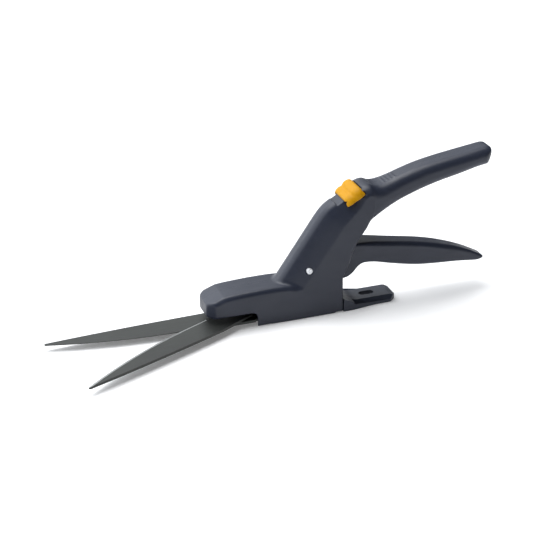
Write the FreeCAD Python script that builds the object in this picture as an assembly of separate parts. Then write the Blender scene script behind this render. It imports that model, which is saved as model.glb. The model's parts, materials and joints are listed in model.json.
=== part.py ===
import FreeCAD, Part
import math
import os

V = FreeCAD.Vector

# Frame: +X towards the blade tips, +Y the tool's left side, +Z up.
# Origin: on the surface the base stands on, directly below the lever's pin.  Sizes in mm.

# ---- driving dimensions -------------------------------------------------------------------
HALF_W = 14.0            # half the width of the body
WALL = 2.4               # moulded wall
SEAM = 0.03              # half the gap between the two housing shells
FIT = 0.02               # gap round a pressed or screwed-in piece
CLEAR = 0.4              # gap beside a sliding piece

SKIRT_FRONT = 40.0       # front of the base skirt
BODY_REAR = -27.2        # back wall of the base
NOSE_FRONT = 77.2
NOSE_UNDER = 11.3        # underside of the nose, over the blades
FOOT_END = -71.2         # back end of the foot tongue
FOOT_T = 5.2
SLOT_X, SLOT_L, SLOT_W = -50.8, 12.0, 5.6     # hanging slot in the foot
PLATE_T = 2.4            # base plate

PIN_X, PIN_Z, PIN_R = 0.0, 37.5, 2.2          # lever pin
HUB_R, HUB_HALF = 6.8, 8.6
NECK_HALF = 9.0          # half the width of the lever's neck
LEVER_TRAVEL = 17.5      # degrees of squeeze

BLADE_PIVOT = 48.0       # X of the blade bolt
BLADE_L = 144.8          # bolt to blade tip
BLADE_T = 2.0
BLADE_Z = 5.0            # top face of the fixed blade
BLADE_GAP = 0.06         # between the two blades
BLADE_OPEN = 28.0        # degrees that the moving blade turns
FIXED_SKEW, MOVING_SKEW = -1.0, -1.5          # set of each blade to its root
TANG_HALF = 10.8
BOLT_R = 3.0
HEEL_R = 10.5            # blade bolt to heel pin
HEEL_PIN_R = 1.6
LINK_ARM = 16.8          # lever pin to link pin
LINK_PIN_R = 1.75
LINK_T = 1.6
RUN = 0.06               # radial running clearance of a pin
OPEN_EYE = 0.5           # radial play of the link's eye on the heel pin

LOCK_X, LOCK_Z = -25.4, 90.0                  # front edge of the lock's top
LOCK_SLOPE = math.radians(31.0)               # slope of the ridge that the lock slides along
LOCK_L = 15.6
LOCK_TRAVEL = 5.0
FLANGE = 7.7             # depth of the lock's flanges
CORE_HALF = 10.6         # half the width of the tongue that the lock rides on
HORN_R = 23.0            # reach of the lever's locking horn
RIDGE_R = 8.0            # rounding of the lock
RIDGE_CUT = 8.5          # bevel on each side of the column's ridge
LOCK_CREST = -1.1        # lock's highest line, below the hump behind it

# shell screws: X, Z, how deep the head sits below the side, shank length
SHELL_SCREWS = [(66, 18.5, 0.3, 22), (28, 21.5, 0.3, 22), (-20, 8, 0.3, 22),
                (-36, 76, 0.3, 22), (-86, 94.5, 4.2, 15.5), (-131, 103.8, 4.4, 15.5)]
BASE_SCREWS = [(-12, 8.6), (-12, -8.6)]
TANG_SCREWS = [(20.5, 7), (20.5, -7)]
BOSS_R = 3.8


# ---- helpers ------------------------------------------------------------------------------
def box(x0, x1, y0, y1, z0, z1):
    return Part.makeBox(x1 - x0, y1 - y0, z1 - z0, V(x0, y0, z0))


def rod(x, y, z, r, length, axis=(0, 0, 1)):
    return Part.makeCylinder(r, length, V(x, y, z), V(*axis))


def polar(x, z, r, degrees):
    a = math.radians(degrees)
    return (x + r * math.cos(a), z + r * math.sin(a))


def wire(steps, lift):
    """Closed wire from points; ("arc", mid, end) and ("curve", p, q, ..., end) bend it."""
    here = steps[0]
    edges = []
    for step in list(steps[1:]) + [steps[0]]:
        if step[0] == "arc":
            edges.append(Part.Arc(lift(here), lift(step[1]), lift(step[2])).toShape())
            here = step[2]
        elif step[0] == "curve":
            curve = Part.BSplineCurve()
            curve.interpolate([lift(p) for p in (here,) + tuple(step[1:])])
            edges.append(curve.toShape())
            here = step[-1]
        elif math.dist(here, step) > 1e-6:
            edges.append(Part.makeLine(lift(here), lift(step)))
            here = step
    return Part.Wire(edges)


def side_slab(steps, y0, y1):
    """Extrude an X-Z outline from y0 to y1."""
    return Part.Face(wire(steps, lambda p: V(p[0], y0, p[1]))).extrude(V(0, y1 - y0, 0))


def plan_slab(steps, z0, z1):
    """Extrude an X-Y outline from z0 to z1."""
    return Part.Face(wire(steps, lambda p: V(p[0], p[1], z0))).extrude(V(0, 0, z1 - z0))


def union(shapes):
    shapes = list(shapes)
    return shapes[0].multiFuse(shapes[1:]).removeSplitter()


def minus(shape, tools):
    for tool in tools:
        shape = shape.cut(tool)
    return shape


def round_edges(shape, radius, wanted):
    """Round the edges whose middle point passes the test."""
    edges = [e for e in shape.Edges if wanted(e.valueAt((e.FirstParameter + e.LastParameter) / 2))]
    return shape.makeFillet(radius, edges)


def ring_section(top, bottom, width, corner):
    """Rounded rectangle standing from bottom to top, both (x, z) points, width along Y."""
    up = V(top[0] - bottom[0], 0, top[1] - bottom[1])
    h = up.Length / 2
    up.normalize()
    mid = V((top[0] + bottom[0]) / 2, 0, (top[1] + bottom[1]) / 2)
    w = width / 2
    r = min(corner, w - 0.2, h - 0.2)
    k = r * (1 - math.sqrt(0.5))

    def at(y, z):
        return mid + V(0, y, 0) + up * z

    ring = []
    for sy, sz in ((1, 1), (-1, 1), (-1, -1), (1, -1)):
        ends = [at(sy * w, sz * (h - r)), at(sy * (w - r), sz * h)]
        if sy * sz < 0:
            ends.reverse()
        ring.append((ends[0], at(sy * (w - k), sz * (h - k)), ends[1]))
    edges = []
    for n, (a, m, b) in enumerate(ring):
        edges.append(Part.Arc(a, m, b).toShape())
        edges.append(Part.makeLine(b, ring[(n + 1) % 4][0]))
    return Part.Wire(edges)


def loft(stations, inset=0.0):
    """Smooth solid through (top, bottom, width, corner) stations, shrunk all round by inset."""
    rings = []
    for top, bottom, width, corner in stations:
        length = math.dist(top, bottom)
        dx = (top[0] - bottom[0]) / length * inset
        dz = (top[1] - bottom[1]) / length * inset
        rings.append(ring_section((top[0] - dx, top[1] - dz), (bottom[0] + dx, bottom[1] + dz),
                                  width - 2 * inset, max(corner - inset, 0.8)))
    return Part.makeLoft(rings, True, False)


def on_ridge(s, n):
    """Point at s back along the lock's slide and n out from it."""
    c, d = math.cos(LOCK_SLOPE), math.sin(LOCK_SLOPE)
    return (LOCK_X - s * c + n * d, LOCK_Z + s * d + n * c)


def ridge_box(s0, s1, n0, n1, half):
    """Block square to the lock's slide, from -half to half in Y."""
    return side_slab([on_ridge(s0, n0), on_ridge(s1, n0), on_ridge(s1, n1), on_ridge(s0, n1)],
                     -half, half)


# ---- housing shells -----------------------------------------------------------------------
HANDLE = [((-38.5, 96.0), (-37.5, 64.0), 27.4, 8.0),
          ((-47.5, 96.9), (-45.0, 62.8), 27.4, 8.0),
          ((-54.5, 94.5), (-50.5, 67.5), 27.0, 8.5),
          ((-62.5, 96.0), (-58.5, 72.8), 25.0, 8.5),
          ((-73.5, 99.9), (-68.5, 78.1), 23.2, 8.0),
          ((-88.0, 104.1), (-84.0, 84.9), 22.2, 7.5),
          ((-104.0, 107.0), (-101.4, 90.5), 22.0, 7.2),
          ((-122.0, 109.6), (-119.8, 94.3), 22.0, 6.8),
          ((-135.5, 111.6), (-133.6, 97.7), 21.6, 6.4),
          ((-141.8, 112.1), (-139.9, 99.4), 20.2, 5.6),
          ((-144.8, 111.0), (-143.2, 100.9), 17.0, 4.4),
          ((-146.0, 109.0), (-145.2, 103.2), 11.5, 2.4)]

COLUMN_OUTSIDE = [(BODY_REAR, 0), (28.0, 0), (28.0, 18.4), (-9.0, 72.3),
                  ("curve", (-15.4, 80.0), (-21.0, 84.1), (-27.5, 87.9)), (-39.5, 95.0),
                  (-44.5, 96.4), (-44.5, 62), (-42.4, 60.8), (-35.4, 49.6), (-30.7, 35.4),
                  (BODY_REAR, 28.1)]
COLUMN_INSIDE = [(BODY_REAR + WALL, WALL), (25.6, WALL), (25.6, 17.6), (-11.0, 70.9),
                 ("curve", (-16.9, 77.8), (-22.0, 81.5), (-28.5, 85.1)), (-39.6, 91.6), (-42.1, 92.4),
                 (-42.1, 63.5), (-40.2, 60), (-33.1, 49), (-28.4, 34.6), (BODY_REAR + WALL, 27.6)]


def column(inset):
    """Leaning column, its front ridge and hood bevelled; shrunk all round by inset."""
    outline = COLUMN_INSIDE if inset else COLUMN_OUTSIDE
    half = HALF_W - inset
    body = side_slab(outline, -half, half)

    def ridge(m):
        return abs(abs(m.y) - half) < 0.01 and m.z > 30 and m.z + 1.35 * m.x > 38
    edges = [e for e in body.Edges if ridge(e.valueAt((e.FirstParameter + e.LastParameter) / 2))]
    return body.makeChamfer(RIDGE_CUT - inset * (2 - math.sqrt(2)), edges)


def nose(inset):
    """Low block from the column to the nose tip, open below between skirt and nose."""
    outline = [(BODY_REAR + 6 + inset, 0), (SKIRT_FRONT - inset, 0),
               (SKIRT_FRONT - inset, 6.9), ("arc", (41.8 - inset, 9.9 + inset * 0.6),
                                            (45 - inset, NOSE_UNDER + inset)),
               (NOSE_FRONT - inset, NOSE_UNDER + inset), (NOSE_FRONT - 0.4 - inset, 20.6),
               (75.4 - inset, 22.6 - inset * 0.4), (63.5, 25.8 - inset),
               ("curve", (47, 27.0 - inset), (30, 27.7 - inset), (16, 27.5 - inset),
                (8, 25.6 - inset), (1, 22.4 - inset), (-6, 20 - inset)),
               (BODY_REAR + 6 + inset, 19 - inset)]
    body = side_slab(outline, -(HALF_W - inset), HALF_W - inset)
    front = NOSE_FRONT - inset
    r = 5.6 - inset
    half = HALF_W - inset
    plan = [(BODY_REAR, half), (front - r, half),
            ("arc", (front - r * 0.293, half - r * 0.293), (front, half - r)),
            (front, -(half - r)), ("arc", (front - r * 0.293, -(half - r * 0.293)),
                                   (front - r, -half)), (BODY_REAR, -half)]
    return body.common(plan_slab(plan, -1, 60))


def boss(x, z):
    """Screw boss across the whole inside width."""
    return rod(x, -HALF_W + 1, z, BOSS_R, 2 * HALF_W - 2, (0, 1, 0))


def lever_sweep():
    """Room that the lever's neck needs behind the column."""
    return side_slab([(-20, 20.8), (-64, 20.8), (-64, 47), (-56, 66), (-45, 68), (-30, 66),
                      (-20, 50)], -NECK_HALF - 1.2, NECK_HALF + 1.2)


def housing():
    """Both shells in one piece, hollow, with every boss, slot and hole."""
    outer = union([column(0), nose(0), loft(HANDLE)])
    cavity = union([column(WALL), nose(WALL),
                    loft(HANDLE[1:-2], WALL)])
    under = box(BODY_REAR + WALL, SKIRT_FRONT - WALL, -HALF_W + WALL, HALF_W - WALL, -1, 12)
    window = box(SKIRT_FRONT - 4, SKIRT_FRONT + 6, -12.9, 12.9, -1, NOSE_UNDER)
    rear_gate = box(BODY_REAR - 1, BODY_REAR + 4, -HALF_W + WALL, HALF_W - WALL, -1, PLATE_T + 0.1)
    shell = minus(outer, [cavity, under, rear_gate, lever_sweep(), window])

    core = ridge_box(-8.5, 19, -12, -4.6, CORE_HALF)
    core = core.cut(ridge_box(-9.5, 20, -13, -7, CORE_HALF - WALL)).common(outer)
    recess = ridge_box(-LOCK_TRAVEL - CLEAR, LOCK_L + CLEAR, -FLANGE - CLEAR, 20, 20)
    recess = recess.cut(ridge_box(-9, 20, -30, -4.6, CORE_HALF))
    ledges = [box(14.5, 25, y0, y1, BLADE_Z + FIT, 7.9) for y0, y1 in ((4, 12.5), (-12.5, -4))]
    posts = [rod(x, y, PLATE_T + 0.1, 3.2, 8) for x, y in BASE_SCREWS]
    bosses = [boss(x, z).common(outer) for x, z, _, _ in SHELL_SCREWS]
    bolt_boss = rod(BLADE_PIVOT, 0, 8.2, 5.6, 6.5)
    spring_seat = rod(BODY_REAR + 1, 0, SPRING_Z, 2.2, 6.5, (1, 0, 0))
    pin_bosses = [rod(PIN_X, y, PIN_Z, 6.0, 3.0, (0, 1, 0)) for y in (-HALF_W + 1, HALF_W - 4)]
    shell = union([shell, core, bolt_boss, spring_seat] + ledges + posts + bosses + pin_bosses)

    hub_room = HUB_HALF + CLEAR
    cuts = [recess, bar_slot(), rod(PIN_X, -20, PIN_Z, PIN_R + FIT, 40, (0, 1, 0)),
            rod(PIN_X, -hub_room, PIN_Z, HUB_R + CLEAR, 2 * hub_room, (0, 1, 0)),
            rod(BLADE_PIVOT, 0, 0, BOLT_R + FIT, 24), nut(FIT)]
    for x, z, sunk, length in SHELL_SCREWS:
        cuts += screw_hole(x, sunk - HALF_W, z, (0, 1, 0), length)
    cuts += base_screw_holes()
    return minus(shell, cuts)


def half_shell(shell, side):
    """One side of the housing, split on the tool's middle plane."""
    y0, y1 = (SEAM, 40) if side > 0 else (-40, -SEAM)
    piece = shell.common(box(-200, 120, y0, y1, -10, 150))
    return max(piece.Solids, key=lambda s: s.Volume)


# ---- base plate and screws ----------------------------------------------------------------
SCREW_R, SCREW_HEAD_R, SCREW_HEAD_H = 1.5, 2.8, 1.8
BASE_SCREW_L, TANG_SCREW_L, SUNK = 9.0, 6.9, 0.3


def screw(x, y, z, axis, length):
    """Round-headed screw, its head's face at the given point and a cross slot in it."""
    a = V(*axis)
    p = V(x, y, z)
    head = Part.makeCylinder(SCREW_HEAD_R, SCREW_HEAD_H, p, a)
    shank = Part.makeCylinder(SCREW_R, length, p, a)
    side = a.cross(V(1, 0, 0))
    slots = []
    for along, across in ((V(1, 0, 0), side), (side, V(1, 0, 0))):
        corner = p - along * 1.7 - across * 0.35 - a * 0.1
        edge = Part.makePolygon([corner, corner + along * 3.4, corner + along * 3.4 + across * 0.7,
                                 corner + across * 0.7, corner])
        slots.append(Part.Face(edge).extrude(a * 1.1))
    return minus(head.fuse(shank), slots)


def screw_hole(x, y, z, axis, length):
    """Counterbore and pilot that a screw() sits in."""
    a = V(*axis)
    head = Part.makeCylinder(SCREW_HEAD_R + 0.1, SCREW_HEAD_H + FIT + 6, V(x, y, z) - a * 6, a)
    shank = Part.makeCylinder(SCREW_R + FIT, length + 0.4, V(x, y, z), a)
    return [head, shank]


def base_screw_holes():
    cuts = []
    for places, length in ((BASE_SCREWS, BASE_SCREW_L), (TANG_SCREWS, TANG_SCREW_L)):
        for x, y in places:
            cuts += screw_hole(x, y, SUNK, (0, 0, 1), length)
    return cuts


def base_plate():
    """Plate that closes the base, with the foot tongue and its hanging slot behind."""
    inner = box(BODY_REAR - 1, SKIRT_FRONT - WALL - 0.1, -HALF_W + WALL + 0.1,
                HALF_W - WALL - 0.1, 0, PLATE_T)
    pad = box(14, 37, -TANG_HALF, TANG_HALF, 1, BLADE_Z - BLADE_T - FIT)
    root = BODY_REAR - 0.1
    side = [(root, 0), (root, 10), ("curve", (-31, 8.4), (-35, 6.4), (-41, FOOT_T)),
            (FOOT_END + 4, FOOT_T), (FOOT_END, FOOT_T - 1.2), (FOOT_END, 0)]
    end = FOOT_END
    plan = [(root, 13.9), ("curve", (-38, 13.5), (-47.5, 12.1), (-60, 11.2)), (end + 4.5, 10.8),
            (end, 6.6), (end, -6.6), (end + 4.5, -10.8), (-60, -11.2),
            ("curve", (-47.5, -12.1), (-38, -13.5), (root, -13.9))]
    foot = side_slab(side, -20, 20).common(plan_slab(plan, -1, 30))
    draft = side_slab([(-100, 0), (0, 0), (0, 20), (-100, 20)], 0, 30)
    draft.rotate(V(0, 0, 0), V(1, 0, 0), 38)
    draft.translate(V(0, 10.6, FOOT_T - 3.2))
    draft = draft.common(box(-100, -36, -40, 40, 0, 30))
    foot = minus(foot, [draft, draft.mirror(V(), V(0, 1, 0))])
    r = SLOT_W / 2
    reach = (SLOT_L - SLOT_W) / 2
    slot = plan_slab([(SLOT_X - reach, r), (SLOT_X + reach, r), ("arc", (SLOT_X + reach + r, 0),
                     (SLOT_X + reach, -r)), (SLOT_X - reach, -r),
                     ("arc", (SLOT_X - reach - r, 0), (SLOT_X - reach, r))], -1, 20)
    plate = union([inner, pad, foot])
    return minus(plate, [slot] + base_screw_holes())


# ---- lever and its pin --------------------------------------------------------------------
GRIP = [((-44, 50.9), (-44, 34.8), 17.9, 3.0),
        ((-54, 49.7), (-54, 33.4), 17.5, 4.0),
        ((-65, 47.7), (-64.5, 30.2), 16.6, 5.0),
        ((-80, 45.2), (-79, 26.6), 16.0, 5.5),
        ((-95, 42.3), (-93, 24.2), 15.8, 5.5),
        ((-110, 38.3), (-108, 23.0), 15.4, 5.2),
        ((-125, 33.1), (-122.5, 21.7), 15.0, 4.2),
        ((-135, 28.4), (-134, 20.1), 13.5, 3.0),
        ((-142, 24.5), (-141.6, 19.5), 10.0, 1.6),
        ((-145, 22.6), (-144.9, 20.9), 6.0, 0.5)]
LINK_PIN = polar(PIN_X, PIN_Z, LINK_ARM, -90 + LEVER_TRAVEL / 2)
LINK_Y = -HEEL_R * math.cos(math.radians(BLADE_OPEN / 2))
SPRING_Z, SPRING_R = 18.6, 4.0
ARM_HALF = 7.4
HORN_BACK, HORN_FRONT = 128.5, 122.5          # sides of the locking horn, degrees round the pin


def lever():
    """Squeeze grip with its neck, hub, arm for the pull link and locking horn."""
    neck = side_slab([(-50, 50.0), ("curve", (-44, 50.8), (-33, 51.2), (-20, 48.6), (-7, 43.4)),
                      (-7, 32), (-12, 26.5), ("curve", (-22, 24.6), (-31, 24.2), (-36.5, 27.8),
                                              (-40.5, 33.0), (-45, 34.8), (-50, 34.6))],
                     -NECK_HALF, NECK_HALF)
    hub = rod(PIN_X, -HUB_HALF, PIN_Z, HUB_R, 2 * HUB_HALF, (0, 1, 0))
    lx, lz = LINK_PIN
    arm = side_slab([(-8.5, 36), (8.5, 36), (lx + 4.6, lz), ("arc", (lx, lz - 4.6), (lx - 4.6, lz))],
                    -ARM_HALF, ARM_HALF)
    horn = side_slab([polar(PIN_X, PIN_Z, 7, HORN_BACK + 8), polar(PIN_X, PIN_Z, HORN_R, HORN_BACK),
                      polar(PIN_X, PIN_Z, HORN_R, HORN_FRONT),
                      polar(PIN_X, PIN_Z, 7, HORN_FRONT - 6)], -3.5, 3.5)
    seat = box(-6.5, 0, -5, 5, SPRING_Z - 2.0, SPRING_Z + 6)
    body = union([neck, hub, arm, horn, seat, loft(GRIP)])
    return minus(body, [rod(PIN_X, -20, PIN_Z, PIN_R + 1.4 + FIT, 40, (0, 1, 0)),
                        rod(lx, -20, lz, LINK_PIN_R + FIT, 40, (0, 1, 0))])


def lever_bush():
    bush = rod(PIN_X, -HUB_HALF, PIN_Z, PIN_R + 1.4, 2 * HUB_HALF, (0, 1, 0))
    return bush.cut(rod(PIN_X, -20, PIN_Z, PIN_R + RUN, 40, (0, 1, 0)))


def lever_pin():
    """Riveted pin across the housing, its ends hollow."""
    half = HALF_W - 0.2
    pin = rod(PIN_X, -half, PIN_Z, PIN_R, 2 * half, (0, 1, 0))
    hollows = [rod(PIN_X, y, PIN_Z, 1.1, 3.2, (0, 1, 0)) for y in (-half - 0.2, half - 3)]
    return minus(pin, hollows)


def return_spring():
    """Coil that pushes the lever's arm forward, between it and the back wall."""
    start, end, turns, wire_r = BODY_REAR + WALL + 0.7, -7.2, 7.0, 0.55
    coil = Part.makeHelix((end - start) / turns, end - start, SPRING_R - wire_r)
    ring = Part.Wire([Part.Circle(V(SPRING_R - wire_r, 0, 0), V(0, 1, 0), wire_r).toShape()])
    spring = Part.Wire(coil.Edges).makePipeShell([ring], True, True)
    spring.rotate(V(0, 0, 0), V(0, 1, 0), 90)
    spring.translate(V(start, 0, SPRING_Z))
    return spring


# ---- pull link ----------------------------------------------------------------------------
LINK_Z = BLADE_Z + BLADE_GAP + BLADE_T + 0.6  # underside of the link's flat front eye
HEEL = (BLADE_PIVOT + HEEL_R * math.sin(math.radians(BLADE_OPEN / 2)), LINK_Y)


def pull_link():
    """Bent steel strip from the lever's arm down to the moving blade's heel."""
    lx, lz = LINK_PIN
    y0, y1 = LINK_Y - LINK_T / 2, LINK_Y + LINK_T / 2
    eye = rod(lx, y0, lz, 4.0, LINK_T, (0, 1, 0))
    web = side_slab([(lx - 0.8, lz - 4.0), (lx + 1.4, lz + 3.8), (34, LINK_Z + 5.0),
                     (39, LINK_Z + LINK_T), (39, LINK_Z), (33, LINK_Z)], y0, y1)
    hx, hy = HEEL
    strip = plan_slab([(33, hy - 0.8), (44.5, hy - 0.8), (hx - 1.4, hy - 3.4), (hx, hy - 3.6),
                       ("arc", (hx + 3.6, hy), (hx, hy + 3.6)), (33, hy + 3.2)],
                      LINK_Z, LINK_Z + LINK_T)
    link = union([eye, web, strip])
    return minus(link, [rod(lx, -20, lz, LINK_PIN_R + RUN, 40, (0, 1, 0)),
                        rod(hx, hy, 0, HEEL_PIN_R + OPEN_EYE, 20)])


def link_pin():
    """Pin through the lever's arm, headed outside the link."""
    lx, lz = LINK_PIN
    end = LINK_Y - LINK_T / 2 - 0.06
    shank = rod(lx, end, lz, LINK_PIN_R, ARM_HALF - end, (0, 1, 0))
    return shank.fuse(rod(lx, end - 0.25, lz, LINK_PIN_R + 0.7, 0.25, (0, 1, 0)))


# ---- blades -------------------------------------------------------------------------------
EDGE_BOW = 0.00129       # bow of the cutting edge
EDGE_START, EDGE_V = 50.0, 11.6
GROUND_FROM = 26.0       # the edge is ground from here, under the nose, to the tip


def blade_point(u, v, turn=0.0, mirror=1):
    """Point u along the blade from its bolt and v out towards its spine."""
    a = math.radians(turn)
    v *= mirror
    return (BLADE_PIVOT + u * math.cos(a) - v * math.sin(a), u * math.sin(a) + v * math.cos(a))


def edge_v(u):
    """Cutting edge's offset from the blade's own axis."""
    return -EDGE_V + EDGE_BOW * max(u - EDGE_START, 0.0) ** 2


def blade_outline():
    """Outline from the spine's root to the tip and back along the bowed cutting edge."""
    mid = (EDGE_START + BLADE_L) / 2
    return [(28, 9.9), ("arc", (90, 6.7), (BLADE_L - 1.4, 2.5)), ("arc", (BLADE_L, 1.1),
            (BLADE_L - 1.2, 0.0)), ("arc", (mid, edge_v(mid)), (EDGE_START, edge_v(EDGE_START)))]


def place(steps, turn, mirror):
    placed = []
    for step in steps:
        if step[0] == "arc":
            placed.append(("arc", blade_point(*step[1], turn, mirror),
                           blade_point(*step[2], turn, mirror)))
        else:
            placed.append(blade_point(*step, turn, mirror))
    return placed


def bevel(z_face, z_edge, turn, mirror):
    """Wedge that grinds the cutting edge from the face down to a thin edge."""
    width = 3.4
    rings = []
    for u in (GROUND_FROM, EDGE_START, 62, 80, 98, 116, 132, BLADE_L + 4):
        v = edge_v(u)
        lift = [(v + width, z_face), (v - 3, z_face), (v - 3, z_edge), (v, z_edge)]
        pts = [V(*blade_point(u, w, turn, mirror), z) for w, z in lift]
        rings.append(Part.makePolygon(pts + [pts[0]]))
    return Part.makeLoft(rings, True, True)


def fixed_blade():
    """Lower blade: spine on the right, tang screwed into the base."""
    z0 = BLADE_Z - BLADE_T
    tang = [(13, -12.4), (-7, -12.4), (-7, -TANG_HALF), (-34, -TANG_HALF), (-34, TANG_HALF),
            (-7, TANG_HALF), (-7, 12.4), (13, 12.4)]
    outline = place(blade_outline(), FIXED_SKEW, -1) + place(tang, 0, -1)
    blade = plan_slab(outline, z0, BLADE_Z)
    holes = [rod(BLADE_PIVOT, 0, 0, BOLT_R + FIT, 20)]
    holes += [rod(x, y, 0, SCREW_R + FIT, 20) for x, y in TANG_SCREWS]
    return minus(blade, holes + [bevel(z0 - 0.1, BLADE_Z - 0.5, FIXED_SKEW, -1)])


def moving_blade():
    """Upper blade, open at rest, with the round tang and heel that the link pulls."""
    z0 = BLADE_Z + BLADE_GAP
    hu, hv = (HEEL_R * math.cos(math.radians(-90 - BLADE_OPEN / 2)),
              HEEL_R * math.sin(math.radians(-90 - BLADE_OPEN / 2)))
    root = [(5.5, -9.4), (1.0, hv), ("arc", (hu, hv - 3.6), (hu - 3.6, hv)), (-8.6, -2.6),
            ("arc", (-6.4, 6.4), (0, 9.0)), (23, 9.1)]
    turn = BLADE_OPEN + MOVING_SKEW
    outline = place(blade_outline(), turn, 1) + place(root, BLADE_OPEN, 1)
    blade = plan_slab(outline, z0, z0 + BLADE_T)
    holes = [rod(BLADE_PIVOT, 0, 0, BOLT_R + 1.3 + FIT, 20), rod(*HEEL, 0, HEEL_PIN_R + FIT, 20)]
    return minus(blade, holes + [bevel(z0 + BLADE_T + 0.1, z0 + 0.5, turn, 1)])


def blade_bush():
    z0 = BLADE_Z + BLADE_GAP
    bush = rod(BLADE_PIVOT, 0, z0, BOLT_R + 1.3, BLADE_T)
    return bush.cut(rod(BLADE_PIVOT, 0, 0, BOLT_R + RUN, 20))


def heel_pin():
    """Shouldered stud riveted into the moving blade's heel."""
    z0 = BLADE_Z + BLADE_GAP
    top = LINK_Z + LINK_T + 1.5
    stud = rod(*HEEL, z0, HEEL_PIN_R, top - z0)
    groove = rod(*HEEL, top - 1.1, HEEL_PIN_R + 1, 0.7).cut(rod(*HEEL, 0, HEEL_PIN_R - 0.4, 20))
    return stud.cut(groove)


def heel_clip():
    """Retaining ring in the heel pin's groove, over the link."""
    z = LINK_Z + LINK_T + 0.45
    ring = rod(*HEEL, z, HEEL_PIN_R + 1.4, 0.6).cut(rod(*HEEL, 0, HEEL_PIN_R - 0.4 + FIT, 20))
    mouth = box(HEEL[0], HEEL[0] + 5, HEEL[1] - 1.0, HEEL[1] + 1.0, 0, 20)
    return ring.cut(mouth)


def blade_bolt():
    """Low-headed bolt up through both blades into the nose, with a hex socket."""
    z0 = BLADE_Z - BLADE_T - FIT
    head = rod(BLADE_PIVOT, 0, 0.6, 6.0, z0 - 0.6)
    shank = rod(BLADE_PIVOT, 0, 0.6, BOLT_R, 20.4)
    return minus(head.fuse(shank), [hexagon(2.0, -1, 2.2)])


def hexagon(r, z0, z1):
    """Six-sided prism on the bolt's line, r to its corners."""
    return plan_slab([blade_point(r * math.cos(k * math.pi / 3), r * math.sin(k * math.pi / 3))
                      for k in range(6)], z0, z1)


def nut(extra=0.0):
    return hexagon(5.6 + extra, 14.2 - extra, 19.0 + extra)


def blade_nut():
    return nut().cut(rod(BLADE_PIVOT, 0, 0, BOLT_R + FIT, 30))


def blade_washer():
    """Spring washer that keeps the blades pressed together."""
    z0 = BLADE_Z + BLADE_GAP + BLADE_T + 0.05
    ring = rod(BLADE_PIVOT, 0, z0, 5.4, 8.15 - z0)
    return ring.cut(rod(BLADE_PIVOT, 0, 0, BOLT_R + 0.1, 30))


# ---- lock ---------------------------------------------------------------------------------
def catch_outline():
    """Block that drops behind the lever's horn, drawn where it stands unlocked."""
    c, d = math.cos(LOCK_SLOPE), math.sin(LOCK_SLOPE)
    front = HORN_BACK - LEVER_TRAVEL + 1.4
    back = HORN_FRONT - 2.0
    low = polar(PIN_X, PIN_Z, HORN_R - 1.3, back)
    corners = [(low[0] + 2.4 * c, low[1] - 2.4 * d), polar(PIN_X, PIN_Z, HORN_R + 3, front),
               polar(PIN_X, PIN_Z, HORN_R + 3, back), low]
    return [(x - LOCK_TRAVEL * c, z + LOCK_TRAVEL * d) for x, z in corners]


BAR_FOOT = 8.0           # how far back along the slide the bar is fixed
BAR_T = 2.0


def lock_bar():
    """Flat bar from the slider down to the catch block, inside the column."""
    block = catch_outline()
    top, heel = block[1], block[2]
    strip = side_slab([top, on_ridge(BAR_FOOT, -9.5), on_ridge(BAR_FOOT, -3.4),
                       on_ridge(BAR_FOOT + BAR_T, -3.4), on_ridge(BAR_FOOT + BAR_T, -10.2), heel],
                      -3.0, 3.0)
    return union([strip, side_slab(block, -3.0, 3.0)])


def bar_slot():
    """Slot in the slide that the bar passes through, as long as its travel."""
    return ridge_box(BAR_FOOT - LOCK_TRAVEL - 0.6, BAR_FOOT + BAR_T + 0.6, -9.2, 0, 3.6)


def lock_section():
    """Rounded section across the slide, drawn in Y and height over the ridge."""
    start, centre = HALF_W - RIDGE_R, LOCK_CREST - RIDGE_R
    bend = RIDGE_R * math.sqrt(0.5)
    return [(-HALF_W, -FLANGE - 2), (HALF_W, -FLANGE - 2), (HALF_W, centre),
            ("arc", (start + bend, centre + bend), (start, LOCK_CREST)), (-start, LOCK_CREST),
            ("arc", (-start - bend, centre + bend), (-HALF_W, centre))]


def lock_slider():
    """Saddle over the ridge with two thumb steps, rounded like it, and flanges down both sides."""
    steps = side_slab([on_ridge(0, -FLANGE), on_ridge(LOCK_L, -FLANGE), on_ridge(LOCK_L, -3.0),
                       on_ridge(LOCK_L - 0.9, -2.0),
                       ("curve", on_ridge(12.4, -1.3), on_ridge(9.6, -1.2), on_ridge(8.2, -1.6),
                        on_ridge(7.2, -2.4)),
                       ("curve", on_ridge(4.6, -2.0), on_ridge(2.0, -2.6), on_ridge(0, -3.8))],
                      -HALF_W, HALF_W)

    def lift(p):
        x, z = on_ridge(-1, p[1])
        return V(x, p[0], z)
    c, d = math.cos(LOCK_SLOPE), math.sin(LOCK_SLOPE)
    length = LOCK_L + 2
    crown = Part.Face(wire(lock_section(), lift)).extrude(V(-c * length, 0, d * length))
    saddle = steps.common(crown)
    saddle = saddle.cut(ridge_box(-1, LOCK_L + 1, -FLANGE - 1, -4.2, CORE_HALF + 0.3))
    seat = ridge_box(BAR_FOOT - FIT, BAR_FOOT + BAR_T + FIT, -6, -3.4 + FIT, 3.0 + FIT)
    return saddle.cut(seat)


def detent_spring():
    """Leaf under the slide that clicks against the bar."""
    s0 = BAR_FOOT + BAR_T + 0.9
    leaf = ridge_box(s0, s0 + 4, -7.5, -7.0 - FIT, 2.5)
    finger = ridge_box(s0, s0 + 0.5, -10.5, -7.0 - FIT, 2.5)
    return union([leaf, finger])


# ---- all nodes ----------------------------------------------------------------------------
def shell_screws():
    return Part.makeCompound([screw(x, sunk - HALF_W, z, (0, 1, 0), length)
                              for x, z, sunk, length in SHELL_SCREWS])


def bottom_screws(places, length):
    return Part.makeCompound([screw(x, y, SUNK, (0, 0, 1), length) for x, y in places])


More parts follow.
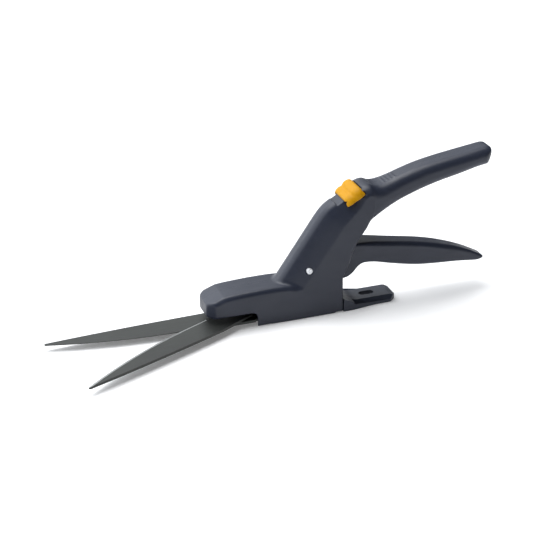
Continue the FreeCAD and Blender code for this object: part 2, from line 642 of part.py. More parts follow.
def main():
    os.makedirs("parts", exist_ok=True)
    shell = housing()
    nodes = {
        "left_housing": half_shell(shell, 1),
        "right_housing": half_shell(shell, -1),
        "base_plate": base_plate(),
        "fixed_blade": fixed_blade(),
        "moving_blade": moving_blade(),
        "blade_bolt": blade_bolt(),
        "blade_nut": blade_nut(),
        "blade_washer": blade_washer(),
        "blade_bush": blade_bush(),
        "heel_pin": heel_pin(),
        "heel_clip": heel_clip(),
        "pull_link": pull_link(),
        "link_pin": link_pin(),
        "lever": lever(),
        "lever_bush": lever_bush(),
        "lever_pin": lever_pin(),
        "return_spring": return_spring(),
        "lock_slider": lock_slider(),
        "lock_bar": lock_bar(),
        "lock_detent_spring": detent_spring(),
        "housing_screws": shell_screws(),
        "base_screws": bottom_screws(BASE_SCREWS, BASE_SCREW_L),
        "tang_screws": bottom_screws(TANG_SCREWS, TANG_SCREW_L),
    }
    for name, shape in nodes.items():
        shape.exportStep("parts/%s.step" % name)
        print(name, shape.isValid(), len(shape.Solids), round(shape.Volume, 1))


main()
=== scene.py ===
import bpy
import json
import math
import numpy as np
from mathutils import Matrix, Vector


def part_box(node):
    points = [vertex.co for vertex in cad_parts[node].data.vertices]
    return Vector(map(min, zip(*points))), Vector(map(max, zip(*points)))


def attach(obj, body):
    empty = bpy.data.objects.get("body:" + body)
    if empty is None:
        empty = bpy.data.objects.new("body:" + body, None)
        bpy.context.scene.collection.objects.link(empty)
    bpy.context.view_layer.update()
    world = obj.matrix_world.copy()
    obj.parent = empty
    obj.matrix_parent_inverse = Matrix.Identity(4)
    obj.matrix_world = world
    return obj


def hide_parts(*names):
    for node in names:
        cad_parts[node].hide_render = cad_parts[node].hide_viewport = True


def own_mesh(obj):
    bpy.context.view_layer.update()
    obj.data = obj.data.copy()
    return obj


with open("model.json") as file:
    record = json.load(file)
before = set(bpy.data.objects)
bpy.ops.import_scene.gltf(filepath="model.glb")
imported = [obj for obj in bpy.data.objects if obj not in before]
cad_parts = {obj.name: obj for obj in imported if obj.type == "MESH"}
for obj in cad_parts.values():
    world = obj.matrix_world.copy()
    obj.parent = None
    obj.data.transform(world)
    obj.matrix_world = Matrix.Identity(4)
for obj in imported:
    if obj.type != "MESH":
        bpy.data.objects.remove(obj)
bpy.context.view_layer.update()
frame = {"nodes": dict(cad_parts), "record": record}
nodes = frame["nodes"]
MM = 0.001

# ---- camera and surroundings --------------------------------------------------------------
CAMERA_AT = Vector((0.3335, 0.8564, 0.48893))
LOOK_AT = Vector((0.0219, 0.0, 0.03223))
SENSOR_MM, LENS_MM = 36.0, 91.64
FLOOR_HALF = 6.0
FLOOR_DROP = 0.0002         # keeps the floor just below the tool's flat underside
KEY_AT, KEY_AIM = Vector((0.30, -0.50, 2.00)), Vector((0, 0, 0.03))
KEY_SIZE, KEY_WATTS = 1.9, 44.0


def aim(obj, at, target):
    """Put a camera or light at a point, facing a target with +Z up."""
    obj.location = at
    obj.rotation_euler = (target - at).to_track_quat("-Z", "Y").to_euler()


def make_camera():
    data = bpy.data.cameras.new("camera")
    data.sensor_width = SENSOR_MM
    data.lens = LENS_MM
    data.clip_start, data.clip_end = 0.01, 20.0
    cam = bpy.data.objects.new("camera", data)
    bpy.context.scene.collection.objects.link(cam)
    aim(cam, CAMERA_AT, LOOK_AT)
    bpy.context.scene.camera = cam


def make_key_light():
    data = bpy.data.lights.new("key", "AREA")
    data.shape = "DISK"
    data.size = KEY_SIZE
    data.energy = KEY_WATTS
    light = bpy.data.objects.new("key", data)
    bpy.context.scene.collection.objects.link(light)
    aim(light, KEY_AT, KEY_AIM)


def make_floor():
    mesh = bpy.data.meshes.new("floor")
    s = FLOOR_HALF
    mesh.from_pydata([(-s, -s, 0), (s, -s, 0), (s, s, 0), (-s, s, 0)], [], [(0, 1, 2, 3)])
    floor = bpy.data.objects.new("floor", mesh)
    bpy.context.scene.collection.objects.link(floor)
    floor.location.z = -FLOOR_DROP
    mat = bpy.data.materials.new("floor")
    mat.use_nodes = True
    bsdf = mat.node_tree.nodes["Principled BSDF"]
    bsdf.inputs["Base Color"].default_value = (0.86, 0.86, 0.87, 1)
    bsdf.inputs["Roughness"].default_value = 0.9
    bsdf.inputs["Specular IOR Level"].default_value = 0.0
    bsdf.inputs["Emission Color"].default_value = (1, 1, 1, 1)
    bsdf.inputs["Emission Strength"].default_value = 0.16
    mesh.materials.append(mat)


def make_world():
    """Pale backdrop in front of and behind the tool, dim on its left side."""
    world = bpy.data.worlds.new("studio")
    world.use_nodes = True
    tree = world.node_tree
    back = tree.nodes["Background"]
    back.inputs["Color"].default_value = (0.95, 0.98, 1.0, 1)
    where = tree.nodes.new("ShaderNodeTexCoord")
    lean = tree.nodes.new("ShaderNodeVectorMath")
    fade = tree.nodes.new("ShaderNodeMapRange")
    fade.interpolation_type = "SMOOTHSTEP"
    for socket, value in (("From Min", 0.0), ("From Max", 0.98), ("To Min", 0.07), ("To Max", 2.3)):
        fade.inputs[socket].default_value = value
    lean.operation = "DOT_PRODUCT"
    lean.inputs[1].default_value = (0.72, -0.62, 0.30)
    tree.links.new(where.outputs["Generated"], lean.inputs[0])
    tree.links.new(lean.outputs["Value"], fade.inputs["Value"])
    tree.links.new(fade.outputs[0], back.inputs["Strength"])
    bpy.context.scene.world = world


make_camera()
make_floor()
make_world()
make_key_light()
bpy.context.scene.view_settings.view_transform = "Standard"


# ---- materials ----------------------------------------------------------------------------
class Nodes:
    """Short way to build one material's nodes."""

    def __init__(self, name):
        self.mat = bpy.data.materials.new(name)
        self.mat.use_nodes = True
        self.tree = self.mat.node_tree
        self.bsdf = self.tree.nodes["Principled BSDF"]
        self.coord = self.tree.nodes.new("ShaderNodeTexCoord").outputs["Object"]

    def add(self, kind, links=(), **values):
        node = self.tree.nodes.new("ShaderNode" + kind)
        for key, value in values.items():
            if hasattr(node, key):
                setattr(node, key, value)
            else:
                node.inputs[key.replace("_", " ")].default_value = value
        for socket, source in dict(links).items():
            self.tree.links.new(source, node.inputs[socket])
        return node

    def link(self, source, socket):
        self.tree.links.new(source, self.bsdf.inputs[socket])

    def scaled(self, scale):
        return self.add("Mapping", {"Vector": self.coord}, Scale=scale).outputs["Vector"]

    def noise(self, scale, detail, vector=None):
        return self.add("TexNoise", {"Vector": vector or self.coord}, Scale=scale,
                        Detail=detail).outputs["Fac"]

    def remap(self, value, low, high, to_low, to_high):
        return self.add("MapRange", {"Value": value}, From_Min=low, From_Max=high, To_Min=to_low,
                        To_Max=to_high).outputs["Result"]

    def mix(self, factor, a, b):
        node = self.add("Mix", {"Factor": factor}, data_type="RGBA")
        for socket, c in ((node.inputs[6], a), (node.inputs[7], b)):
            if isinstance(c, tuple):
                socket.default_value = (*c, 1)
            else:
                self.tree.links.new(c, socket)
        return node.outputs[2]

    def bump(self, height, distance, strength, normal=None):
        links = {"Height": height}
        if normal:
            links["Normal"] = normal
        return self.add("Bump", links, Distance=distance, Strength=strength).outputs["Normal"]


def plastic(name, base, worn, rough, gloss):
    """Moulded plastic: fine eroded grain, slow sink marks, slightly polished edges."""
    n = Nodes(name)
    fine = n.noise(2600.0, 2.0)
    slow = n.noise(28.0, 2.0)
    scuff = n.noise(1.0, 5.0, n.scaled((60, 240, 300)))
    tone = n.mix(n.remap(slow, 0.3, 0.7, 0.0, 1.0), base, tuple(c * 1.14 for c in base))
    point = n.add("NewGeometry").outputs["Pointiness"]
    edge = n.remap(point, 0.52, 0.60, 0.0, 0.55)
    n.link(n.mix(edge, tone, worn), "Base Color")
    n.link(n.remap(scuff, 0.35, 0.75, rough - 0.05, rough + 0.09), "Roughness")
    n.bsdf.inputs["Specular IOR Level"].default_value = gloss
    under = n.bump(slow, 0.0004, 0.25)
    n.link(n.bump(fine, 0.00006, 0.55, under), "Normal")
    return n.mat


FINE_LINES = (300, 300, 300)
LINE_DEPTH = 0.00002


def steel(name, base, rough, metallic, streak=FINE_LINES):
    """Metal with fine drawn or ground lines."""
    n = Nodes(name)
    lines = n.noise(1.0, 4.0, n.scaled(streak))
    cloud = n.noise(45.0, 4.0)
    tone = n.mix(n.remap(cloud, 0.3, 0.7, 0.0, 1.0), tuple(c * 0.86 for c in base), base)
    n.link(n.mix(n.remap(lines, 0.35, 0.75, 0.0, 0.5), tone, tuple(min(1, c * 1.35) for c in base)),
           "Base Color")
    n.bsdf.inputs["Metallic"].default_value = metallic
    n.link(n.remap(lines, 0.3, 0.7, rough - 0.06, rough + 0.08), "Roughness")
    n.link(n.bump(lines, LINE_DEPTH, 0.6), "Normal")
    return n.mat


def blade_steel(name):
    """Dark coated blade, bare and ground on the bevel, told apart by how the surface faces."""
    n = Nodes(name)
    facing = n.add("SeparateXYZ", {"Vector": n.add("NewGeometry").outputs["Normal"]}).outputs["Z"]
    up = n.add("Math", {0: facing}, operation="ABSOLUTE").outputs[0]
    steep = n.remap(up, 0.93, 0.97, 1.0, 0.0)
    wall = n.remap(up, 0.3, 0.5, 0.0, 1.0)
    ground = n.add("Math", {0: steep, 1: wall}, operation="MULTIPLY").outputs[0]
    lines = n.noise(1.0, 4.0, n.scaled((22, 900, 900)))
    cloud = n.noise(38.0, 5.0)
    coat = n.mix(n.remap(cloud, 0.3, 0.7, 0.0, 1.0), (0.019, 0.021, 0.020), (0.027, 0.030, 0.028))
    coat = n.mix(n.remap(lines, 0.45, 0.8, 0.0, 0.35), coat, (0.048, 0.051, 0.050))
    n.link(n.mix(ground, coat, (0.24, 0.25, 0.25)), "Base Color")
    n.link(n.remap(ground, 0.0, 1.0, 0.35, 0.9), "Metallic")
    n.link(n.remap(lines, 0.3, 0.7, 0.36, 0.5), "Roughness")
    n.link(n.bump(lines, LINE_DEPTH, 0.5), "Normal")
    return n.mat


MATERIALS = {
    "dark_plastic": plastic("moulded_slate", (0.0180, 0.0220, 0.037), (0.036, 0.043, 0.060),
                            0.40, 0.37),
    "yellow_plastic": plastic("moulded_amber", (0.47, 0.225, 0.0005), (0.54, 0.28, 0.004),
                              0.50, 0.16),
    "blade_steel": blade_steel("coated_blade"),
    "bright_steel": steel("turned_steel", (0.74, 0.76, 0.80), 0.42, 0.45, (500, 500, 500)),
    "zinc_steel": steel("zinc_steel", (0.52, 0.54, 0.56), 0.38, 1.0),
    "spring_steel": steel("spring_wire", (0.30, 0.30, 0.31), 0.36, 1.0),
    "bronze": steel("bronze", (0.48, 0.30, 0.13), 0.35, 1.0),
}
for part in frame["record"]["subparts"]:
    mesh = nodes[part["node"]].data
    mesh.materials.clear()
    mesh.materials.append(MATERIALS[part["material_slot"]])


# ---- solids from distance fields ----------------------------------------------------------
# A field is negative inside a shape and in mm, as are all sizes from here on.  Outlines are
# drawn in the X-Z plane, but NOSE_PLAN in X-Y and LOCK_TOP along and out from the lock's slide.
SEAM = 0.02                 # half the gap between the housing shells
CORNER_ROUNDS = 3
RELAX_ROUNDS = 4


def soften(points):
    """Closed outline with its corners cut smooth; a point given twice keeps its corner."""
    p = np.array(points, float)
    for _ in range(CORNER_ROUNDS):
        q = np.roll(p, -1, axis=0)
        p = np.stack([p * 0.75 + q * 0.25, p * 0.25 + q * 0.75], axis=1).reshape(-1, 2)
    return p


def outline_field(outline, u, v):
    """Signed distance of each (u, v) from a closed outline."""
    shape = np.broadcast_shapes(u.shape, v.shape)
    best = np.full(shape, 1e9)
    inside = np.zeros(shape, bool)
    for (ax, ay), (bx, by) in zip(outline, np.roll(outline, -1, axis=0)):
        ex, ey = bx - ax, by - ay
        long = ex * ex + ey * ey
        if long < 1e-12:
            continue
        t = np.clip(((u - ax) * ex + (v - ay) * ey) / long, 0, 1)
        best = np.minimum(best, (u - ax - t * ex) ** 2 + (v - ay - t * ey) ** 2)
        if ay != by:
            inside ^= ((ay > v) != (by > v)) & (u < ax + (v - ay) * ex / ey)
    return np.where(inside, -1.0, 1.0) * np.sqrt(best)


def both(a, b, r):
    """Where two shapes overlap, with the edge between their surfaces rounded to r."""
    pa, pb = np.maximum(a + r, 0), np.maximum(b + r, 0)
    return np.sqrt(pa * pa + pb * pb) - r + np.minimum(np.maximum(a, b) + r, 0)


def blend(a, b, k):
    """Two shapes joined with a fillet about k wide."""
    h = np.clip(0.5 + 0.5 * (b - a) / k, 0, 1)
    return b + (a - b) * h - k * h * (1 - h)


def block(x, y, z, x0, x1, y0, y1, z0, z1):
    return np.maximum.reduce(np.broadcast_arrays(
        np.maximum(x0 - x, x - x1), np.maximum(y0 - y, y - y1), np.maximum(z0 - z, z - z1)))


def barrel(x, z, cx, cz, r):
    """Endless cylinder along Y."""
    return np.sqrt((x - cx) ** 2 + (z - cz) ** 2) - r


def sample(values, places, low, step):
    """Field values between the grid points."""
    g = (places - low) / step
    i = np.clip(np.floor(g).astype(int), 0, np.array(values.shape) - 2)
    f = g - i
    total = 0.0
    for dx in (0, 1):
        for dy in (0, 1):
            for dz in (0, 1):
                w = (np.where(dx, f[:, 0], 1 - f[:, 0]) * np.where(dy, f[:, 1], 1 - f[:, 1])
                     * np.where(dz, f[:, 2], 1 - f[:, 2]))
                total = total + w * values[i[:, 0] + dx, i[:, 1] + dy, i[:, 2] + dz]
    return total


def skin(values, low, step):
    """Points and four-sided faces of the surface where the field is zero (surface nets)."""
    inside = values < 0
    shape = np.array(values.shape) - 1
    corners = [(a, b, c) for a in (0, 1) for b in (0, 1) for c in (0, 1)]

    def at(array, c):
        return array[c[0]:c[0] + shape[0], c[1]:c[1] + shape[1], c[2]:c[2] + shape[2]]
    count = sum(at(inside, c).astype(np.int8) for c in corners)
    active = (count > 0) & (count < 8)
    cell = np.argwhere(active)
    number = np.full(tuple(shape), -1)
    number[active] = np.arange(len(cell))
    place, hits = np.zeros((len(cell), 3)), np.zeros(len(cell))
    for a in corners:
        for axis in range(3):
            if a[axis]:
                continue
            b = tuple(1 if k == axis else a[k] for k in range(3))
            va = values[tuple((cell + a).T)]
            vb = values[tuple((cell + b).T)]
            m = (va < 0) != (vb < 0)
            t = va[m] / (va[m] - vb[m])
            place[m] += np.array(a) + t[:, None] * (np.array(b) - np.array(a))
            hits[m] += 1
    place = (place / hits[:, None] + cell) * step + low
    faces = []
    for axis in range(3):
        u, v = (axis + 1) % 3, (axis + 2) % 3
        first = [slice(None)] * 3
        second = [slice(None)] * 3
        first[axis], second[axis] = slice(None, -1), slice(1, None)
        change = inside[tuple(first)] != inside[tuple(second)]
        edge = np.argwhere(change)
        edge = edge[(edge[:, u] > 0) & (edge[:, v] > 0) & (edge[:, u] < shape[u])
                    & (edge[:, v] < shape[v])]
        ring = []
        for du, dv in ((1, 1), (0, 1), (0, 0), (1, 0)):
            c = edge.copy()
            c[:, u] -= du
            c[:, v] -= dv
            ring.append(number[tuple(c.T)])
        quad = np.stack(ring, axis=1)
        flip = ~inside[tuple(edge.T)]
        quad[flip] = quad[flip][:, ::-1]
        faces.append(quad)
    return place, np.concatenate(faces)


def relax(place, faces, values, low, step):
    """Even the points out along the surface and pull them back onto it."""
    pairs = np.concatenate([faces[:, [0, 1]], faces[:, [1, 2]], faces[:, [2, 3]], faces[:, [3, 0]]])
    pairs = np.concatenate([pairs, pairs[:, ::-1]])
    degree = np.bincount(pairs[:, 0], minlength=len(place))
    slope = [np.gradient(values, step, axis=k) for k in range(3)]
    for _ in range(RELAX_ROUNDS):
        mean = np.stack([np.bincount(pairs[:, 0], weights=place[pairs[:, 1], k],
                                     minlength=len(place)) for k in range(3)], axis=1)
        place = place + 0.6 * (mean / degree[:, None] - place)
        off = sample(values, place, low, step)
        g = np.stack([sample(s, place, low, step) for s in slope], axis=1)
        size = np.maximum((g * g).sum(axis=1), 0.25)
        place = place - np.clip(off / size, -0.5 * step, 0.5 * step)[:, None] * g * 0.9
    return place


def flatten(place, faces, values, low, step, sign):
    """Bring the points near Y = 0 onto the parting plane, their rim onto the surface."""
    flat = place[:, 1] * sign < 0.5 * step
    place[flat, 1] = SEAM * sign
    rim = np.zeros(len(place), bool)
    rim[faces[~flat[faces].all(axis=1)].ravel()] = True
    rim &= flat
    p = place[rim]
    slope = [np.gradient(values, step, axis=k) for k in (0, 2)]
    for _ in range(RELAX_ROUNDS):
        off = sample(values, p, low, step)
        gx, gz = (sample(g, p, low, step) for g in slope)
        pull = np.clip(off / np.maximum(gx * gx + gz * gz, 0.3), -0.5 * step, 0.5 * step)
        p[:, 0] -= pull * gx
        p[:, 2] -= pull * gz
    place[rim] = p
    return rim


def solid(name, body, slot, replaced, field, low, high, step, split=0):
    """Mesh a field over a box and let it ride on a body in place of CAD nodes.

    split of 1 or -1 keeps the left or right half, with a flat face on the middle plane."""
    low = np.array(low, float)
    axes = [np.arange(low[k], high[k] + step, step) for k in range(3)]
    x, y, z = axes[0][:, None, None], axes[1][None, :, None], axes[2][None, None, :]
    values = np.broadcast_to(field(x, y, z), tuple(len(a) for a in axes)).astype(float)
    kept = np.maximum(values, -split * y) if split else values
    place, faces = skin(kept, low, step)
    place = relax(place, faces, kept, low, step)
    rim = flatten(place, faces, values, low, step, split) if split else np.zeros(len(place), bool)
    mesh = bpy.data.meshes.new(name)
    mesh.vertices.add(len(place))
    mesh.vertices.foreach_set("co", (place * MM).ravel())
    mesh.loops.add(faces.size)
    mesh.loops.foreach_set("vertex_index", faces.ravel())
    mesh.polygons.add(len(faces))
    mesh.polygons.foreach_set("loop_start", np.arange(0, faces.size, 4))
    mesh.update(calc_edges=True)
    mesh.shade_smooth()
    ends = np.zeros(len(mesh.edges) * 2, int)
    mesh.edges.foreach_get("vertices", ends)
    sharp = rim[ends.reshape(-1, 2)].all(axis=1)
    mesh.attributes.new("sharp_edge", "BOOLEAN", "EDGE").data.foreach_set("value", sharp)
    mesh.validate()
    obj = bpy.data.objects.new(name, mesh)
    bpy.context.scene.collection.objects.link(obj)
    mesh.materials.append(MATERIALS[slot])
    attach(obj, body)
    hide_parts(*replaced)


# ---- housing ------------------------------------------------------------------------------
WALL = 2.4
HALF_W = 14.0
RIDGE_CUT = 8.8             # bevel of the column's ridge
NOSE_CUT = 2.3
RIBS, RIB_PITCH, RIB_HALF = 4, 2.4, 0.55
PIN = (0.0, 37.5)           # lever pin, X and Z
PIN_HOLE_R = 2.25
BLADE_BOLT_X, BOLT_HOLE_R = 48, 3.05
HUB_ROOM_R, HUB_ROOM_HALF = 7.2, 9.0
LEVER_ROOM_HALF = 10.2
TONGUE_HALF, TONGUE_DEPTH = 10.6, 4.6       # what the lock rides on
RECESS_FRONT, RECESS_BACK, RECESS_DEPTH = 5.4, 16.0, 8.1
BAR_SLOT_HALF = 3.6
BOSS_R, HEAD_R, SHANK_R, HEAD_H = 3.8, 2.95, 1.6, 1.8       # round each shell screw
RIDGE_AT, RIDGE_SLOPE = (-25.4, 90.0), math.radians(31.0)
COLUMN = soften([(-27.2, 0), (-27.2, 0), (-27.2, 0), (28.6, 0), (28.6, 0), (28.6, 0),
                 (28.6, 18.4), (8.8, 47.2), (-3.6, 65.3), (-9.3, 73.6), (-14.4, 80.1),
                 (-20.6, 84.6), (-28.0, 88.3), (-39.5, 93.9), (-44.5, 95.5), (-50.0, 94.4),
                 (-50.5, 80.0), (-46.0, 66.0), (-42.7, 61.6), (-38.8, 56.0), (-34.8, 48.0),
                 (-31.2, 36.4), (-27.2, 27.9), (-27.2, 27.9)])
HANDLE = soften([(-36, 91.0), (-38.5, 93.6), (-43.0, 95.9), (-47.4, 96.4), (-51.2, 94.9),
                 (-55.6, 94.4), (-62.5, 96.0), (-73.5, 99.9), (-88.0, 104.1), (-104.0, 107.0),
                 (-122.0, 109.7), (-135.5, 111.9), (-143.4, 113.0), (-146.2, 110.8),
                 (-145.7, 104.8), (-143.4, 99.0), (-139.6, 98.3), (-133.6, 97.5), (-119.8, 94.2),
                 (-101.4, 90.4), (-84.0, 84.9), (-68.5, 78.6), (-58.5, 73.8), (-50.8, 69.4),
                 (-44.5, 65.4), (-36, 62)])
NOSE = soften([(-20, 0), (-20, 0), (40, 0), (40, 0), (40, 0), (40, 7.2), (41.4, 10.6),
               (45.5, 11.3), (75.6, 11.3), (77.2, 11.6), (77.6, 12.8), (77.6, 14.5), (77.5, 19.6),
               (77.3, 20.9), (76.9, 21.8), (76.0, 22.5), (74.8, 23.0), (65.4, 26.6), (64.7, 26.8),
               (63.6, 26.95), (60, 27.3), (56, 27.6), (45, 28.1), (30, 28.4), (16, 28.0),
               (8, 25.8), (1, 22.6), (-6, 20), (-20, 18)])
NOSE_PLAN = soften([(-40, -14), (-40, -14), (69.5, -14), (71.4, -13.9), (72.8, -13.1),
                    (76.4, -9.6), (77.4, -8.2), (77.6, -6.4), (77.6, 6.4), (77.4, 8.2),
                    (76.4, 9.6), (72.8, 13.1), (71.4, 13.9), (69.5, 14), (-40, 14), (-40, 14)])
LOCK_TOP = soften([(-8, -20), (-8, -7), (-3, -5.6), (0.4, -3.7), (1.6, -2.75), (3.4, -2.2),
                   (5.4, -2.15), (6.8, -2.55), (7.5, -2.4), (8.2, -1.65), (9.4, -1.15),
                   (11.2, -1.05), (13.2, -1.3), (14.6, -1.9), (16, -3.4), (20, -7), (24, -20)])
LEVER_ROOM = np.array([(-20, 20.8), (-66, 20.8), (-66, 47), (-56, 66), (-45, 68), (-30, 66),
                       (-20, 50)])
# shell screws: X, Z, how deep the head sits below the widest plane, length
SHELL_SCREWS = [(66, 18.5, 0.3, 22), (28, 21.5, 0.3, 22), (-20, 8, 0.3, 22), (-36, 76, 0.3, 22),
                (-86, 94.5, 4.2, 15.5), (-131, 103.8, 4.4, 15.5)]


def on_slide(x, z):
    """How far back along the lock's slide, and how far out from it."""
    c, d = math.cos(RIDGE_SLOPE), math.sin(RIDGE_SLOPE)
    u, v = x - RIDGE_AT[0], z - RIDGE_AT[1]
    return -u * c + v * d, u * d + v * c


def ramp(t, t0, t1, a, b):
    """From a to b as t goes from t0 to t1, eased at both ends."""
    s = np.clip((t - t0) / (t1 - t0), 0, 1)
    return a + (b - a) * s * s * (3 - 2 * s)


def body_skin(x, y, z):
    """Outer surface: leaning column, low nose and handle, run into each other."""
    side = np.abs(y)
    ridge = 0.825 * (28.0 - x) + 0.565 * (18.4 - z)
    sides = outline_field(COLUMN, x, z)
    cut = RIDGE_CUT * ramp(ridge, 10, 26, 1.0, 0.12) * ramp(z, 4, 20, 0.12, 1.0)
    bevel = (sides + side - HALF_W + cut) * math.sqrt(0.5)
    column = both(both(sides, bevel, 2.2), side - HALF_W, ramp(cut, 0, 8, 1.0, 9.0))
    width = ramp(x, -74, -46, 11.2, 13.9) - ramp(-x, 118, 140, 0.0, 0.5)
    grip = both(outline_field(HANDLE, x, z), side - width, ramp(x, -110, -50, 6.8, 8.2))
    low = outline_field(NOSE, x, z)
    bevel = (low + side - HALF_W + NOSE_CUT * ramp(z, 13, 20, 0.15, 1.0)) * math.sqrt(0.5)
    nose = both(both(low, bevel, 0.8), outline_field(NOSE_PLAN, x, y), 1.0)
    outer = blend(column, grip, 2.8)
    for k in range(RIBS):
        rib = np.abs(-x - 60.5 - RIB_PITCH * k - 0.4 * z + 38.4)
        grip_rib = np.maximum.reduce(np.broadcast_arrays(rib - RIB_HALF, side - 4.2, 92 - z))
        outer = np.minimum(outer, np.maximum(grip_rib, outer - 0.45))
    outer = blend(outer, nose, 3.0)
    return np.maximum.reduce(np.broadcast_arrays(outer, side - HALF_W, -z))


def housing_field(x, y, z):
    side = np.abs(y)
    s, n = on_slide(x, z)
    outer = body_skin(x, y, z)
    recess = np.maximum.reduce(np.broadcast_arrays(-RECESS_FRONT - s, s - RECESS_BACK,
                                                   -RECESS_DEPTH - n))
    tongue = np.maximum(side - TONGUE_HALF, n + TONGUE_DEPTH)
    outer = np.maximum(outer, np.minimum(-recess, tongue))
    shell = np.maximum(outer, -(outer + WALL))
    for cx, cz, _, _ in SHELL_SCREWS:
        shell = np.minimum(shell, np.maximum(barrel(x, z, cx, cz, BOSS_R), outer + 0.4))
    bar_slot = np.maximum.reduce(np.broadcast_arrays(2.4 - s, s - 10.6, side - BAR_SLOT_HALF,
                                                     n + 3, -n - 9.2))
    hub_room = np.maximum.reduce(np.broadcast_arrays(barrel(x, z, *PIN, HUB_ROOM_R),
                                                     side - HUB_ROOM_HALF, outer + WALL / 2))
    bolt_hole = np.sqrt((x - BLADE_BOLT_X) ** 2 + y ** 2) - BOLT_HOLE_R
    # open underside, slot for the foot, window over the blades, then the rooms and holes
    gaps = [block(x, y, z, -24.8, 37.6, -11.6, 11.6, -5, 12),
            block(x, y, z, -28.4, -23.0, -11.6, 11.6, -5, 2.5),
            block(x, y, z, 36, 46, -12.9, 12.9, -5, 11.3),
            np.maximum(outline_field(LEVER_ROOM, x, z), side - LEVER_ROOM_HALF), bar_slot,
            barrel(x, z, *PIN, PIN_HOLE_R), hub_room, np.maximum(bolt_hole, z - 20)]
    for cx, cz, sunk, long in SHELL_SCREWS:
        gaps.append(np.maximum(barrel(x, z, cx, cz, HEAD_R), y + HALF_W - sunk - HEAD_H))
        gaps.append(np.maximum(barrel(x, z, cx, cz, SHANK_R), y + HALF_W - sunk - long - 0.5))
    for gap in gaps:
        shell = np.maximum(shell, -gap)
    return shell


def make_housing():
    step = 0.6
    for name, node, sign in (("housing_left", "left_housing", 1),
                             ("housing_right", "right_housing", -1)):
        side = sorted((-sign * step * 2, sign * (HALF_W + 1)))
        solid(name, "housing", "dark_plastic", [node], housing_field,
              (-148.0, side[0], -1.5), (79.5, side[1], 114.0), step, sign)


# ---- lock ---------------------------------------------------------------------------------
LOCK_L, FLANGE = 15.6, 7.7
SADDLE_HALF, SADDLE_TOP = 10.9, 4.2         # hollow that fits over the tongue


def lock_field(x, y, z):
    side = np.abs(y)
    s, n = on_slide(x, z)
    crown = both(outline_field(LOCK_TOP, s, n), side - HALF_W, 6.6)
    ends = np.maximum.reduce([-s, s - LOCK_L, -FLANGE - n])
    saddle = both(crown, ends, 1.3)
    return np.maximum(saddle, -np.maximum(side - SADDLE_HALF, n + SADDLE_TOP))


def make_lock():
    low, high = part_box("lock_slider")
    low, high = np.array(low) / MM - 1.2, np.array(high) / MM + 1.2
    solid("thumb_lock", "lock", "yellow_plastic", ["lock_slider"], lock_field, low, high,
          0.3)


# ---- lever --------------------------------------------------------------------------------
LEVER = soften([(-8, 43.6), (-20, 48.6), (-33, 51.2), (-44, 51.0), (-54, 49.8), (-65, 47.8),
                (-80, 45.3), (-95, 42.4), (-110, 38.4), (-125, 33.2), (-135, 28.5), (-142, 24.7),
                (-146.2, 22.4), (-145.6, 20.6), (-141.4, 19.3), (-134, 20.1), (-122.5, 21.6),
                (-108, 22.9), (-93, 24.1), (-79, 26.5), (-64.5, 30.2), (-54, 33.4), (-45, 34.6),
                (-40.6, 32.8), (-36.6, 27.6), (-31, 24.2), (-22, 24.6), (-12, 26.5), (-7, 30)])
ARM = np.array([(-8.5, 36), (8.5, 36), (7.16, 20.9), (5.8, 17.6), (2.56, 16.3), (-0.7, 17.6),
                (-2.04, 20.9)])
HORN = np.array([(-5.2, 42.3), (-14.32, 55.5), (-12.36, 56.9), (-2.9, 43.9)])
HUB_R, HUB_HALF = 6.8, 8.6
ARM_HALF, HORN_HALF, SEAT_HALF = 7.4, 3.5, 5
BUSH_HOLE_R = 3.62
LINK_PIN, LINK_HOLE_R = (2.56, 20.9), 1.8   # link pin, X and Z


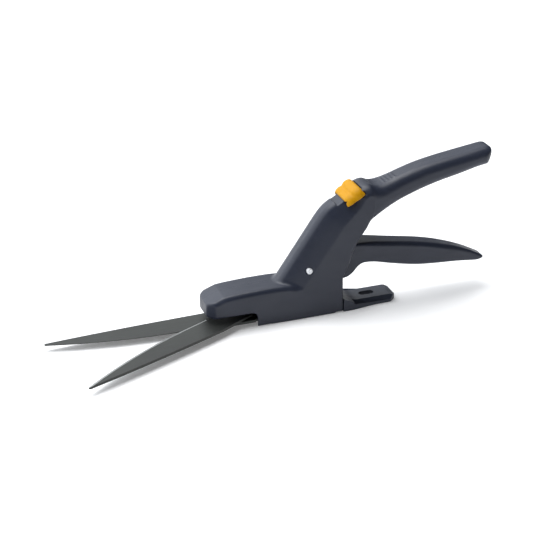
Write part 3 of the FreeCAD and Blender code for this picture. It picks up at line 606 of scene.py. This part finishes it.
def lever_field(x, y, z):
    side = np.abs(y)
    width = 9.0 - ramp(-x, 46, 80, 0.0, 1.0) - ramp(-x, 105, 142, 0.0, 2.6)
    radius = ramp(-x, 36, 60, 2.2, 3.6) - ramp(-x, 112, 143, 0.0, 1.8)
    grip = both(outline_field(LEVER, x, z), side - width, radius)
    hub = np.maximum(barrel(x, z, *PIN, HUB_R), side - HUB_HALF)
    arm = np.maximum(outline_field(ARM, x, z), side - ARM_HALF)
    horn = np.maximum(outline_field(HORN, x, z), side - HORN_HALF)
    seat = block(x, y, z, -6.5, 0, -SEAT_HALF, SEAT_HALF, 16.6, 24.6)
    whole = np.minimum.reduce(np.broadcast_arrays(grip, hub, arm, horn, seat))
    whole = np.maximum(whole, -barrel(x, z, *PIN, BUSH_HOLE_R))
    return np.maximum(whole, -barrel(x, z, *LINK_PIN, LINK_HOLE_R))


def make_lever():
    step = 0.55
    solid("squeeze_grip", "squeeze_lever", "dark_plastic", ["lever"], lever_field,
          (-148.0, -10.45, 14.0), (12.0, 10.45, 60.0), step)


# ---- lever pin ----------------------------------------------------------------------------
PIN_R, PIN_SHORT = 2.2, 0.2                 # each end stops this far inside the body's side
DIMPLE_R, DIMPLE_OUT = 1.6, 1.15            # ball that hollows each end, and how far out


def rivet_field(x, y, z):
    """Riveted pin, a shallow dimple in each end."""
    side = np.abs(y)
    shank = both(barrel(x, z, *PIN, PIN_R), side - HALF_W + PIN_SHORT, 0.35)
    off_axis = (x - PIN[0]) ** 2 + (z - PIN[1]) ** 2
    dimple = np.sqrt(off_axis + (side - HALF_W - DIMPLE_OUT) ** 2) - DIMPLE_R
    return np.maximum(shank, -dimple)


def make_rivet():
    solid("lever_rivet", "housing", "bright_steel", ["lever_pin"], rivet_field,
          (-3.0, -14.5, 34.5), (3.0, 14.5, 40.5), 0.25)


# ---- return spring ------------------------------------------------------------------------
def make_spring():
    """The CAD coil as a copy with its own mesh, riding on the housing in place of the CAD node."""
    coil = bpy.data.objects.new("return_coil", nodes["return_spring"].data.copy())
    bpy.context.scene.collection.objects.link(coil)
    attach(coil, "housing")
    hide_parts("return_spring")
    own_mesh(coil)


make_housing()
make_lock()
make_lever()
make_rivet()
make_spring()
